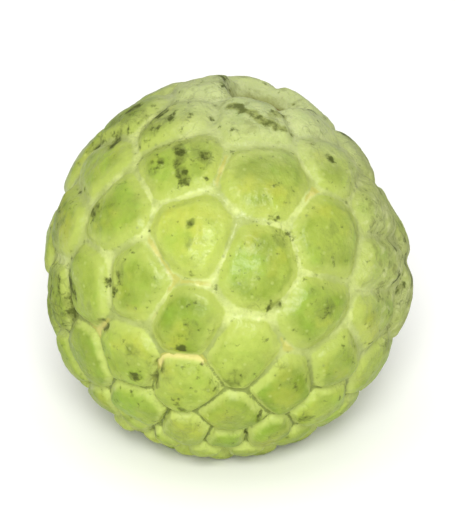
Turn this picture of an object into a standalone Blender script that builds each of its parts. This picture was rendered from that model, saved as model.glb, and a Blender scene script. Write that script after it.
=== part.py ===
"""Custard apple (Annona squamosa) as picked, standing on a small flat spot beside its tip.

The fruit is one body of about a hundred segments that grew together. Each is a low dome, and
they meet in seams. A short stump of the woody stalk stands in the pit at the stem end.

Fruit frame: +Z runs from the tip to the stem end, and -Y is the front. Longitude 0 is the front
and grows to the right; latitude is 0 at the waist and +90 at the stem end. World frame: metres,
+Z up, with the origin in the middle of the flat spot that the fruit stands on.
"""

import math

import bmesh
import bpy
import numpy as np
from mathutils import Matrix, Vector

MM = 0.001

# Driving dimensions of the body, before the segments' relief is added.
WAIST_RADIUS = 38.0 * MM
AXIS_RADIUS = 40.0 * MM
CENTRE_HEIGHT = 39.1 * MM

# Where the ball grew unevenly against its neighbours: the place's longitude and latitude, the
# degrees round it that are affected, and how far in the skin is there (less than 0: how far out).
UNEVEN_GROWTH = (
    (104.0, 48.0, 40.0, 2.6 * MM),
    (88.0, 8.0, 24.0, -1.0 * MM),
)

# How the fruit leans: its stem end tips away from upright, to the right and back.
LEAN = math.radians(18.6)
LEAN_TOWARDS = math.radians(47.0)

# Relief of the segments: near the tip, at the waist and near the stem end.
RELIEF_LATITUDES = (-60.0, 0.0, 60.0)
RELIEF_HEIGHTS = (2.8 * MM, 1.9 * MM, 1.7 * MM)
SHOULDER_SHARE = 0.62  # of a segment's half width slopes down to the seam
SHOULDER_ROUNDNESS = 2.2
CORNER_ROUNDNESS = 0.7 * MM

# Angle between neighbouring segments' centres, from the tip up to the stem end.
SPACING_LATITUDES = (-90.0, -50.0, 0.0, 15.0, 45.0, 85.0)
SPACING_ANGLES = (9.0, 15.0, 25.0, 28.0, 28.0, 21.0)
GOLDEN_ANGLE = math.pi * (3.0 - math.sqrt(5.0))

# The front's segments, placed one by one as (longitude, latitude), in rows that climb rightwards.
FRONT_ROWS = (
    ((15, -51), (31, -46), (47, -31)),
    ((-7, -50), (10, -37), (24, -21), (41, -11), (54, 2)),
    ((-30, -45), (-10, -27), (6, -13), (28, 4), (56, 18)),
    ((-61, -54), (-32, -23), (-14, -6), (5, 16), (31, 27), (60, 35)),
    ((-55, -31), (-33, 1), (-19, 20), (3, 44), (45, 53)),
    ((-53, -6), (-51, 18), (-37, 42), (-11, 67), (54, 71)),
    ((-72, -16), (-75, 7), (-72, 27), (-56, 53)),
    ((-88, 45),),
    ((0, 90),),  # the stalk's seat, in the pit
)

# How the other segments find their places among those.
CLEAR_OF_PLACED = 0.68  # of the spacing, or a spiral place is already taken
GROWTH_ROUNDS = 120
CROWDING = 1.15
YIELD = 0.35
SIZE_VARIATION = 0.09
VARIATION_STEP = 2.4  # radians of a sine wave from one grown segment's size to the next

# The pit at the stem end, and the stump of the stalk in it.
PIT_DEPTH = 5.4 * MM
PIT_FLOOR_RADIUS = 4.3 * MM
PIT_RIM_RADIUS = 10.5 * MM
STALK_RADIUS = 2.3 * MM
STALK_COLLAR_RADIUS = 2.9 * MM
STALK_LENGTH = 2.0 * MM
COLLAR_SHARE = 0.12  # of the length: the collar keeps its full width this far up
FLARE_SHARE = 0.34  # of the length: the collar has narrowed to the stalk by here
EDGE_SHARE = 0.90  # of the length: the broken top starts to round off here
TOP_SHARE = 0.86  # of the radius is left at the broken top
STALK_SIDES = 20
GAP = 0.3 * MM

# Skin pressed flat where the fruit stands.
PRESSED_RADIUS = 15.0 * MM
PRESSED_RELIEF = 0.35

# Mesh of each segment: points along its border, and rings from the border towards its centre.
POINT_SPACING = 3.4 * MM
RING_SHARES = (0.16, 0.42)
SHARP_ANGLE = math.radians(40.0)

# Finishes: linear base colour and roughness.
SKIN_COLOUR = (0.38, 0.50, 0.10)
SKIN_ROUGHNESS = 0.5
BARK_COLOUR = (0.16, 0.10, 0.055)
BARK_ROUGHNESS = 0.85


def direction(longitude, latitude):
    """Unit vector of a place on the fruit, given in degrees."""
    around, up = math.radians(longitude), math.radians(latitude)
    return (
        math.cos(up) * math.sin(around),
        -math.cos(up) * math.cos(around),
        math.sin(up),
    )


def spacing(heights):
    """Angle between neighbouring centres at each height on the unit sphere."""
    latitudes = np.degrees(np.arcsin(np.clip(heights, -1.0, 1.0)))
    return np.radians(np.interp(latitudes, SPACING_LATITUDES, SPACING_ANGLES))


def spiral_centres():
    """Centres along a golden-angle spiral from the pit to the tip, each with its share of skin."""
    centres = []
    height = math.cos(PIT_RIM_RADIUS / AXIS_RADIUS)
    turn = 0.0
    while height > -1.0:
        ring = math.sqrt(1.0 - height * height)
        centres.append((ring * math.sin(turn), -ring * math.cos(turn), height))
        share = math.sqrt(3.0) / 2.0 * float(spacing(height)) ** 2
        height -= share / (2.0 * math.pi)
        turn += GOLDEN_ANGLE
    return np.array(centres)


def unit(vectors):
    return vectors / np.linalg.norm(vectors, axis=1)[:, None]


def segment_centres():
    """The front's placed centres, then the rest, which push apart until they share the skin."""
    placed = np.array([direction(*place) for row in FRONT_ROWS for place in row])
    grown = spiral_centres()
    nearest = np.arccos(np.clip(grown @ placed.T, -1.0, 1.0)).min(axis=1)
    grown = grown[nearest > CLEAR_OF_PLACED * spacing(grown[:, 2])]
    sizes = np.ones(len(placed) + len(grown))
    sizes[len(placed):] += SIZE_VARIATION * np.sin(VARIATION_STEP * np.arange(len(grown)))
    for _ in range(GROWTH_ROUNDS):
        everyone = np.vstack([placed, grown])
        reach = sizes * spacing(everyone[:, 2])
        wanted = CROWDING * 0.5 * (reach[len(placed):, None] + reach[None, :])
        apart = grown[:, None, :] - everyone[None, :, :]
        distance = np.maximum(np.linalg.norm(apart, axis=2), 1e-9)
        push = YIELD * np.maximum(wanted - distance, 0.0) / distance
        grown = unit(grown + (apart * push[:, :, None]).sum(axis=1))
    return np.vstack([placed, grown])


def seam_distances(directions, centres):
    """Distance from each direction to its segment's border, in metres, and the segment's index.

    The border with each neighbour is the plane midway between the two centres. The distances to
    all of them are blended, so a segment's corners are rounded.
    """
    squared = 2.0 - 2.0 * directions @ centres.T
    own = squared.argmin(axis=1)
    own_squared = squared[np.arange(len(directions)), own]
    between = np.linalg.norm(centres[:, None, :] - centres[None, :, :], axis=2)
    np.fill_diagonal(between, 1.0)
    to_border = (squared - own_squared[:, None]) / (2.0 * between[own]) * WAIST_RADIUS
    crowd = np.exp(-to_border / CORNER_ROUNDNESS)
    crowd[np.arange(len(directions)), own] = 0.0
    return np.maximum(-CORNER_ROUNDNESS * np.log(crowd.sum(axis=1)), 0.0), own


def smooth_step(values):
    part = np.clip(values, 0.0, 1.0)
    return part * part * (3.0 - 2.0 * part)


def skin_points(directions, centres, nadir):
    """Points of the skin, in the fruit's frame, for unit directions from its centre."""
    half_widths, _ = seam_distances(centres, centres)
    distances, own = seam_distances(directions, centres)
    latitudes = np.degrees(np.arcsin(np.clip(directions[:, 2], -1.0, 1.0)))
    relief = np.interp(latitudes, RELIEF_LATITUDES, RELIEF_HEIGHTS)
    body = directions * (WAIST_RADIUS, WAIST_RADIUS, AXIS_RADIUS)
    for longitude, latitude, reach, inwards in UNEVEN_GROWTH:
        facing = directions @ np.array(direction(longitude, latitude))
        limit = math.cos(math.radians(reach))
        affected = smooth_step((facing - limit) / (1.0 - limit))
        body = body - directions * (inwards * affected)[:, None]

    # Each segment rises from its seam over a rounded shoulder.
    rise = np.clip(distances / (SHOULDER_SHARE * half_widths[own]), 0.0, 1.0)
    relief = relief * (1.0 - (1.0 - rise) ** SHOULDER_ROUNDNESS)

    # The relief is pressed in where the fruit stands, and runs out inside the stem pit.
    from_nadir = np.linalg.norm(body - nadir * (body @ nadir)[:, None], axis=1)
    from_nadir[body @ nadir < 0.0] = PRESSED_RADIUS
    pressed = PRESSED_RELIEF + (1.0 - PRESSED_RELIEF) * smooth_step(from_nadir / PRESSED_RADIUS)
    from_axis = np.hypot(body[:, 0], body[:, 1])
    from_axis[body[:, 2] < 0.0] = PIT_RIM_RADIUS
    pit_slope = (from_axis - PIT_FLOOR_RADIUS) / (PIT_RIM_RADIUS - PIT_FLOOR_RADIUS)
    out_of_pit = smooth_step(pit_slope)
    points = body + directions * (relief * pressed * out_of_pit)[:, None]
    points[:, 2] -= PIT_DEPTH * (1.0 - out_of_pit)

    # What would reach below the ground is pressed up to it.
    too_low = np.maximum(points @ nadir - CENTRE_HEIGHT, 0.0)
    return points - nadir * too_low[:, None]


def material(name, colour, roughness):
    finish = bpy.data.materials.new(name)
    finish.use_nodes = True
    shader = finish.node_tree.nodes["Principled BSDF"]
    shader.inputs["Base Color"].default_value = (*colour, 1.0)
    shader.inputs["Roughness"].default_value = roughness
    shader.inputs["Metallic"].default_value = 0.0
    return finish


def add_object(name, bm, finish, parent):
    bmesh.ops.recalc_face_normals(bm, faces=bm.faces)
    mesh = bpy.data.meshes.new(name)
    bm.to_mesh(mesh)
    bm.free()
    mesh.materials.append(finish)
    mesh.shade_smooth()
    mesh.set_sharp_from_angle(angle=SHARP_ANGLE)
    made = bpy.data.objects.new(name, mesh)
    bpy.context.scene.collection.objects.link(made)
    made.parent = parent
    return made


def join_rings(bm, first, second):
    """A band of four-sided faces between two rings of as many vertices."""
    for side in range(len(first)):
        after = (side + 1) % len(first)
        bm.faces.new((first[side], first[after], second[after], second[side]))


def in_order(corners, centre):
    """The indices of a segment's corners, sorted by their turn about its centre."""
    across = centre.orthogonal().normalized()
    up = centre.cross(across)

    def turn(index):
        return math.atan2(corners[index].dot(up), corners[index].dot(across))

    return sorted(corners, key=turn)


def seam_vertices(bm, corners, first, second, made):
    """The seam's vertices from one corner to the next, made once for both its segments."""
    key = (min(first, second), max(first, second))
    if key not in made:
        start, end = corners[key[0]].co, corners[key[1]].co
        steps = max(1, round(WAIST_RADIUS * (end - start).length / POINT_SPACING))
        places = [start.lerp(end, step / steps).normalized() for step in range(1, steps)]
        made[key] = [bm.verts.new(place) for place in places]
    return made[key] if key[0] == first else made[key][::-1]


def segment_outlines(bm, centres):
    """Each segment's centre, and the loop of new vertices along its seams, on a unit sphere.

    The hull of the centres joins each centre to its neighbours. Each of the hull's triangles
    faces the corner where its three segments meet.
    """
    hull = bmesh.new()
    for centre in centres:
        hull.verts.new(centre)
    bmesh.ops.convex_hull(hull, input=hull.verts)
    hull.normal_update()
    hull.faces.index_update()
    corners = [bm.verts.new(face.normal) for face in hull.faces]
    made = {}
    outlines = []
    for vertex in hull.verts:
        around = in_order({face.index: face.normal for face in vertex.link_faces}, vertex.co)
        loop = []
        for first, second in zip(around, around[1:] + around[:1]):
            loop.append(corners[first])
            loop.extend(seam_vertices(bm, corners, first, second, made))
        outlines.append((vertex.co.copy(), loop))
    hull.free()
    return outlines


def fruit_mesh(nadir):
    """The skin: for each segment a fan of rings, which share their vertices along the seams."""
    bm = bmesh.new()
    centres = segment_centres()
    for centre, outline in segment_outlines(bm, centres):
        outer = outline
        for share in RING_SHARES:
            inner = [bm.verts.new(vertex.co.lerp(centre, share).normalized()) for vertex in outline]
            join_rings(bm, outer, inner)
            outer = inner
        middle = bm.verts.new(centre)
        for side, vertex in enumerate(outer):
            bm.faces.new((vertex, outer[(side + 1) % len(outer)], middle))
    directions = unit(np.array([vertex.co for vertex in bm.verts], dtype=np.float64))
    for vertex, point in zip(bm.verts, skin_points(directions, centres, nadir)):
        vertex.co = point
    return bm


def stalk_mesh():
    """The stump, turned about Z with its foot at z = 0: a flared collar, a waist and a broken top."""
    profile = (
        (STALK_COLLAR_RADIUS, 0.0),
        (STALK_COLLAR_RADIUS, COLLAR_SHARE * STALK_LENGTH),
        (STALK_RADIUS, FLARE_SHARE * STALK_LENGTH),
        (STALK_RADIUS, EDGE_SHARE * STALK_LENGTH),
        (TOP_SHARE * STALK_RADIUS, STALK_LENGTH),
    )
    bm = bmesh.new()
    rings = []
    for radius, height in profile:
        ring = []
        for side in range(STALK_SIDES):
            angle = 2.0 * math.pi * side / STALK_SIDES
            ring.append(bm.verts.new((radius * math.cos(angle), radius * math.sin(angle), height)))
        rings.append(ring)
    for lower, upper in zip(rings, rings[1:]):
        join_rings(bm, lower, upper)
    bm.faces.new(rings[0][::-1])
    bm.faces.new(rings[-1])
    return bm


def main():
    for old in list(bpy.data.objects):
        bpy.data.objects.remove(old)
    axis = bpy.data.objects.new("fruit_axis", None)
    bpy.context.scene.collection.objects.link(axis)
    tipping_axis = Vector((-math.sin(LEAN_TOWARDS), math.cos(LEAN_TOWARDS), 0.0))
    placing = Matrix.Translation((0.0, 0.0, CENTRE_HEIGHT)) @ Matrix.Rotation(LEAN, 4, tipping_axis)
    axis.matrix_world = placing
    nadir = np.array(placing.to_3x3().inverted() @ Vector((0.0, 0.0, -1.0)))

    skin = material("custard_apple_skin", SKIN_COLOUR, SKIN_ROUGHNESS)
    bark = material("stalk_bark", BARK_COLOUR, BARK_ROUGHNESS)
    add_object("fruit", fruit_mesh(nadir), skin, axis)
    stalk = add_object("stalk_stump", stalk_mesh(), bark, axis)
    stalk.location = (0.0, 0.0, AXIS_RADIUS - PIT_DEPTH + GAP)


main()
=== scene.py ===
# %% [markdown]
# # A custard apple
#
# A custard apple is not one fruit but about a hundred, one for each pistil of the flower, grown
# together into a ball. Each shows on the outside as a flat or bulging segment, and the seams
# between them are where two neighbours met. This lesson builds its looks around a solid that
# already has the right size: first the load, then the segments, the skin, its colours, the
# stalk, and at the end a plain studio.

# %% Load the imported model
import math

import bmesh
import bpy
import numpy as np
from mathutils import Matrix, Vector, noise


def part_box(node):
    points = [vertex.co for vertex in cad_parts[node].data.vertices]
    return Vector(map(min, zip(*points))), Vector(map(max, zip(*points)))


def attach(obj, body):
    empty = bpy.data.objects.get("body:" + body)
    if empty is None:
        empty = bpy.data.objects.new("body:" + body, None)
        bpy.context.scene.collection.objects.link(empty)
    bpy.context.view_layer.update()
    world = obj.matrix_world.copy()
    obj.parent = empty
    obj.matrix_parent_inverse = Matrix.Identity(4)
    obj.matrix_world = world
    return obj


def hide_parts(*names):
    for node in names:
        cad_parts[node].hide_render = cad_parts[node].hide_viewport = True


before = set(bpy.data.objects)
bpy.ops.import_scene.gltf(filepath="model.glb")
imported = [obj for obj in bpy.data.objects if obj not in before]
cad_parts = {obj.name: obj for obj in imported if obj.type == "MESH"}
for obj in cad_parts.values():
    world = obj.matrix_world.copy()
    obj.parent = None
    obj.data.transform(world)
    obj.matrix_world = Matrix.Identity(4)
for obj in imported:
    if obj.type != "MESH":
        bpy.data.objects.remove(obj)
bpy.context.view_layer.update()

MM = 0.001
print("nodes:", sorted(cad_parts))

# %% [markdown]
# ## The body's size and lean
#
# Everything is measured from the solid's own boxes, so the looks can't drift away from it. The
# fruit stands on a spot that its weight pressed flat, so its middle is a little lower than half
# its height. The stump of the stalk shows where the stem end is: the line from the middle to
# the stump is the fruit's axis. The axis leans, because the fruit came to rest on its side.
# The same line gives the depth of the pit that the stump stands in.

# %% Measure the body
FLATTENED = 2.2 * MM  # how far the resting side was pressed in
SEGMENT_RELIEF = 1.9 * MM  # how far a segment stands out from the seams, at the waist
LONGER_ALONG_AXIS = 2.0 * MM
STUMP_LENGTH = 2.0 * MM
STUMP_GAP = 0.3 * MM  # between the stump's solid and the pit's floor

fruit_low, fruit_high = (Vector(corner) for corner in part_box("fruit"))
stump_low, stump_high = (Vector(corner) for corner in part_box("stalk_stump"))
centre_height = (fruit_high.z - FLATTENED) / 2
waist_radius = (fruit_high.y - fruit_low.y) / 2 - SEGMENT_RELIEF
axis_radius = waist_radius + LONGER_ALONG_AXIS
stem_end = (stump_low + stump_high) / 2 - Vector((0, 0, centre_height))
pit_depth = axis_radius + STUMP_LENGTH / 2 + STUMP_GAP - stem_end.length
stem_axis = stem_end.normalized()
tipping_axis = Vector((-stem_axis.y, stem_axis.x, 0)).normalized()
lean = math.acos(stem_axis.z)
print(f"waist radius {waist_radius / MM:.1f} mm, lean {math.degrees(lean):.1f} degrees,",
      f"pit {pit_depth / MM:.1f} mm deep")

# %% [markdown]
# ## Where the segments are
#
# Segments near the stem end are broad, and they get smaller towards the tip. A fruit's surface
# is shared out like soap bubbles: each segment takes the skin that is nearer to its middle than
# to any other, which is a Voronoi pattern on a ball. So only the middles are needed. Those at
# the front are listed, in degrees round the fruit and up from its waist, each with how pale
# its green is. The others start on a golden-angle spiral, the pattern that plants use, and
# then push each other apart for a while, as growing segments do.

# %% Middles of the segments
FRONT_ROWS = (  # longitude, latitude and tone, from 0 for dark to 1 for pale
    # the first two tones, 0.0, are painted shade on the bottom of the fruit
    ((15, -51, 0.0), (31, -46, 0.0), (47, -31, 0.6)),
    ((-7, -50, 0.4), (10, -37, 0.2), (24, -21, 0.1), (41, -11, 0.2), (54, 2, 0.1)),
    ((-30, -45, 0.4), (-10, -27, 0.7), (6, -13, 0.8), (28, 4, 0.1), (56, 18, 0.4)),
    ((-61, -54, 0.2), (-32, -23, 0.6), (-14, -6, 0.2), (5, 16, 0.3), (31, 27, 0.3), (60, 35, 0.5)),
    ((-55, -31, 0.1), (-33, 1, 0.2), (-19, 20, 0.9), (3, 44, 0.4), (45, 53, 0.5)),
    ((-53, -6, 0.3), (-51, 18, 0.2), (-37, 42, 0.5), (-11, 67, 0.1), (54, 71, 0.5)),
    ((-72, -16, 0.3), (-75, 7, 0.1), (-72, 27, 0.3), (-56, 53, 0.6)),
    ((-88, 45, 0.2),),
    ((0, 90, 0.2),),  # the stalk's seat, in the pit
)
SPACING_LATITUDES = (-90, -50, 0, 15, 45, 85)
SPACING_ANGLES = (9, 15, 25, 28, 28, 21)  # degrees between neighbours, at those latitudes
GOLDEN_ANGLE = math.pi * (3 - math.sqrt(5))
PIT_RIM_RADIUS = 10.5 * MM
CORNER_ROUNDNESS = 0.7 * MM


def direction(longitude, latitude):
    """Unit vector of a place on the fruit, given in degrees. Longitude 0 is the front."""
    around, up = math.radians(longitude), math.radians(latitude)
    return (math.cos(up) * math.sin(around), -math.cos(up) * math.cos(around), math.sin(up))


def spacing(heights):
    """Angle between neighbours at each height on a ball of radius 1."""
    latitudes = np.degrees(np.arcsin(np.clip(heights, -1, 1)))
    return np.radians(np.interp(latitudes, SPACING_LATITUDES, SPACING_ANGLES))


def spiral_middles():
    """Middles on a golden-angle spiral from the pit to the tip, each with its share of skin."""
    middles = []
    height, turn = math.cos(PIT_RIM_RADIUS / axis_radius), 0.0
    while height > -1:
        ring = math.sqrt(1 - height * height)
        middles.append((ring * math.sin(turn), -ring * math.cos(turn), height))
        height -= math.sqrt(3) / 2 * float(spacing(height)) ** 2 / (2 * math.pi)
        turn += GOLDEN_ANGLE
    return np.array(middles)


def segment_middles(rounds=120, clear_of_placed=0.68, crowding=1.15, give=0.35, variation=0.09,
                    rhythm=2.4):
    """The placed middles, then the grown ones, which push apart until they share the skin.

    The variation is how much the grown segments' sizes differ, in a sine of that rhythm.
    """
    placed = np.array([direction(*place[:2]) for row in FRONT_ROWS for place in row])
    grown = spiral_middles()
    nearest = np.arccos(np.clip(grown @ placed.T, -1, 1)).min(axis=1)
    grown = grown[nearest > clear_of_placed * spacing(grown[:, 2])]
    sizes = np.ones(len(placed) + len(grown))
    sizes[len(placed):] += variation * np.sin(rhythm * np.arange(len(grown)))
    for _ in range(rounds):
        everyone = np.vstack([placed, grown])
        reach = sizes * spacing(everyone[:, 2])
        wanted = crowding / 2 * (reach[len(placed):, None] + reach[None, :])
        apart = grown[:, None, :] - everyone[None, :, :]
        distance = np.maximum(np.linalg.norm(apart, axis=2), 1e-9)
        push = give * np.maximum(wanted - distance, 0) / distance
        grown = grown + (apart * push[:, :, None]).sum(axis=1)
        grown /= np.linalg.norm(grown, axis=1)[:, None]
    return np.vstack([placed, grown])


middles = segment_middles()
print(len(middles), "segments")

# %% [markdown]
# ## Facts that each segment carries
#
# The middles become a mesh of loose points, and each point carries its segment's own facts as
# attributes: how far it is from its middle to its nearest seam, how far it stands proud, and a
# tone, because no two segments are quite the same green. Steps of the golden ratio give values
# that look random, never repeat, and are the same each run.

# %% The middles as points with attributes
GOLDEN_STEP = (math.sqrt(5) - 1) / 2
PROUD_STEP = 7  # times the golden step, so that how proud a segment stands doesn't follow its tone


def point_cloud(name, places, attributes):
    """An object of loose points. Each attribute is (kind, one value for each point)."""
    mesh = bpy.data.meshes.new(name)
    mesh.from_pydata([tuple(place) for place in places], [], [])
    for label, (kind, values) in attributes.items():
        layer = mesh.attributes.new(label, kind, "POINT")
        layer.data.foreach_set("vector" if kind == "FLOAT_VECTOR" else "value", np.ravel(values))
    cloud = bpy.data.objects.new(name, mesh)
    bpy.context.scene.collection.objects.link(cloud)
    return cloud


def half_widths(middles):
    """From each middle to its nearest seam, in metres: half the way to the nearest neighbour."""
    between = np.linalg.norm(middles[:, None, :] - middles[None, :, :], axis=2)
    np.fill_diagonal(between, np.inf)
    return between.min(axis=1) / 2 * waist_radius


widths = half_widths(middles)
steps = np.arange(len(middles)) * GOLDEN_STEP
tones = steps % 1
front_tones = [place[2] for row in FRONT_ROWS for place in row]
tones[:len(front_tones)] = front_tones
fruit = point_cloud("fruit_skin", middles, {
    "half_width": ("FLOAT", widths),
    "tone": ("FLOAT", tones),
    "proud": ("FLOAT", (PROUD_STEP * steps) % 1 - 0.5),
})
print(f"half widths: {widths.min() / MM:.1f} to {widths.max() / MM:.1f} mm")

# %% [markdown]
# ## Marks on the skin
#
# Real fruit is never clean. Sooty mould leaves an olive film and dark specks in the hollows,
# seams that tore and healed are lined with pale cork, and where fruits rubbed together the skin
# is bruised brown. Each mark is a place, a radius and a kind. The kinds are the three axes of a
# vector, so one attribute can hold all of them and the material can take them apart again. A
# film is soot at less than half strength. The hidden side's marks come from golden steps. Some
# soot and film marks are painted shade, not mould: the large ones along the left and right
# edges, those on the top edge and those in a crease on the left darken where shade falls.

# %% Places of the marks
SOOT_AND_SHADE, FILM_AND_SHADE, CORK, TORN, BRUISE = (1, 0, 0), (0.4, 0, 0), (0, 0.5, 0), (0, 1, 0), (0, 0, 1.1)
FRONT_MARKS = {  # for each kind: longitude and latitude in degrees, radius in millimetres
    # some soot is painted shade: the patches in the crease near (-61, -14), those near longitude
    # 72 to 80 on the right edge, and those on the top edge
    SOOT_AND_SHADE: (
        (-26, 45, 2.1), (-28, 36, 1.8), (-31, 38, 1.6), (-42, 38, 1.8), (-36, 43, 1.9),
        (-49, 44, 1.6), (-39, 61, 1.5), (-33, 53, 1.0), (-35, 41, 1.6), (-40, 45, 1.4),
        (-20, 24, 1.0), (-58, 17, 2.9), (-79, 38, 3.2), (-74, 36, 2.6), (-92, 31, 4.0),
        (-68, 52, 3.0), (-56, 52, 2.2), (-87, 46, 3.0), (-45, 37, 1.3), (-21, 39, 1.2),
        (-40, -3, 1.6), (-43, -2, 1.5), (-39, 3, 1.6), (-39, 6, 1.0), (-60, -8, 3.0),
        (-62, -14, 3.2), (-61, -19, 2.6), (-28, -27, 2.0), (-14, -13, 0.6), (-10, -35, 1.1),
        (21, -8, 1.5), (11, 5, 1.2), (14, 6, 1.0), (72, 31, 2.6), (63, 22, 1.6), (58, 18, 1.3),
        (79, 15, 3.0), (80, 10, 2.6), (70, 8, 1.7), (64, 13, 1.8), (20, -33, 1.6), (36, 52, 0.8),
        (84, 77, 3.2), (72, 80, 2.4), (64, 75, 2.2), (-77, 75, 2.6), (-78, 78, 2.4),
        (-105, 75, 3.6), (95, 58, 3.4), (-25, -58, 1.6), (66, 2, 1.6),
    ),
    # some film is painted shade: the big ones from longitude -60 to -87 on the left edge and from
    # 70 to 78 on the right edge
    FILM_AND_SHADE: (
        (-49, 41, 3.2), (-44, 48, 4.2), (-30, 50, 4.0), (-43, 36, 2.6), (-60, 47, 6.0),
        (-70, 55, 7.0), (-50, 58, 2.6), (-78, 44, 7.0), (-87, 35, 8.0), (-37, -2, 4.2),
        (-39, 4, 3.2), (-52, 20, 3.2), (-12, -5, 3.0), (-14, -12, 3.4), (-8, -16, 3.4),
        (-15, 10, 2.2), (12, 27, 3.4), (17, 20, 2.2), (6, 6, 4.2), (8, 31, 2.2), (30, 6, 3.4),
        (45, -7, 3.4), (49, 2, 2.8), (56, 10, 3.4), (62, 4, 3.6), (28, -17, 3.4), (20, -14, 2.6),
        (5, -20, 3.0), (0, -24, 2.4), (-30, -19, 1.5), (-36, -26, 2.8), (-35, -33, 2.2),
        (-12, -32, 2.6), (-70, -15, 10.0), (-80, -5, 10.0), (-64, -4, 4.5), (-78, 12, 9.0),
        (-60, 2, 3.6), (-85, -22, 8.0), (74, 5, 7.0), (70, -8, 6.0), (78, 28, 6.0),
        (-17, 58, 3.0), (-22, 61, 2.4), (92, 79, 6.0), (-76, 76, 4.5), (40, 80, 5.0),
        (-25, 43, 3.8), (38, -34, 3.0),
    ),
    CORK: (
        (-29, 14, 5.0), (-25, 6, 5.0), (-13, 5, 5.5), (-16, 43, 5.0), (20, -6, 4.0),
        (-44, -18, 5.0), (24, 40, 3.0), (-21, -6, 3.5),
    ),
    TORN: ((-17, -20, 3.6), (-13, -18, 3.8), (-9, -18, 3.4)),
    BRUISE: (
        (-30, 67, 1.2), (-25, 67, 1.3), (-20, 66, 1.4), (-15, 66, 1.5), (-10, 66, 1.7),
        (-6, 65, 1.8), (-3, 64, 1.9), (2, 64, 1.7), (6, 63, 1.6), (12, 62, 1.5), (17, 62, 1.3),
        (16, 71, 1.8), (11, 70, 1.9), (5, 69, 1.9), (1, 67, 1.7), (-43, -15, 1.8),
        (-20, -21, 1.5), (-21, -28, 1.3),
    ),
}
HIDDEN_MARKS = 48
HIDDEN_FROM, HIDDEN_TO = 95, 250  # degrees of longitude
HIDDEN_RADIUS, HIDDEN_EXTRA = 1.2, 2.2  # millimetres: the smallest, and how much more at most
RADIUS_STEP = 0.37
FILM_AND_CORK_SIZE = 2  # times a colony's radius
marks = [(direction(mark[0], mark[1]), mark[2] * MM, kind)
         for kind, places in FRONT_MARKS.items() for mark in places]
for number in range(HIDDEN_MARKS):
    longitude = HIDDEN_FROM + (HIDDEN_TO - HIDDEN_FROM) * (number * GOLDEN_STEP % 1)
    latitude = math.degrees(math.asin(1 - (2 * number + 1) / HIDDEN_MARKS))
    kind = (SOOT_AND_SHADE, FILM_AND_SHADE, CORK)[number % 3]
    radius = (HIDDEN_RADIUS + HIDDEN_EXTRA * (number * RADIUS_STEP % 1)) * MM
    if kind != SOOT_AND_SHADE:
        radius *= FILM_AND_CORK_SIZE
    marks.append((direction(longitude, latitude), radius, kind))
mark_places = point_cloud("mark_places", [mark[0] for mark in marks], {
    "radius": ("FLOAT", [mark[1] for mark in marks]),
    "kind": ("FLOAT_VECTOR", [mark[2] for mark in marks]),
})
print(len(marks), "marks")

# %% [markdown]
# ## One helper for nodes
#
# Node trees are long to write by hand: make a node, set its properties, set or link each input.
# This helper does the three in one call. A node hides the sockets that its settings don't need,
# so sockets are found among those that are in use, by name or by number.

# %% The node helper
SMOOTH = {"interpolation_type": "SMOOTHSTEP"}  # for a Map Range node that eases in and out
COLOURS = {"data_type": "RGBA"}  # for a Mix node that mixes colours


def live(sockets, key):
    """The socket in use under this name or number."""
    in_use = [socket for socket in sockets if socket.enabled]
    return in_use[key] if isinstance(key, int) else next(s for s in in_use if s.name == key)


def add(tree, kind, settings=None, inputs=None):
    """Adds a node, sets its properties, and sets each input or links it to a node or a socket.

    The settings are a dictionary, or just the name of the operation for a maths node.
    """
    node = tree.nodes.new(kind)
    if isinstance(settings, str):
        settings = {"operation": settings}
    for name, value in (settings or {}).items():
        setattr(node, name, value)
    for key, value in (inputs or {}).items():
        socket = live(node.inputs, key)
        if isinstance(value, bpy.types.Node):
            value = live(value.outputs, 0)
        if isinstance(value, bpy.types.NodeSocket):
            tree.links.new(value, socket)
        else:
            socket.default_value = value
    return node


# %% [markdown]
# ## The skin's tree, step 1: a ball of even squares
#
# The skin follows a rule, so Geometry Nodes grow it. An icosphere would do, but a cube whose
# points are pushed out to a ball has neat square faces all over, no poles, and lets us choose
# its fineness exactly. Taking the tangent first evens the squares out.
# The sizes that someone may want to change are the tree's inputs.

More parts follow.
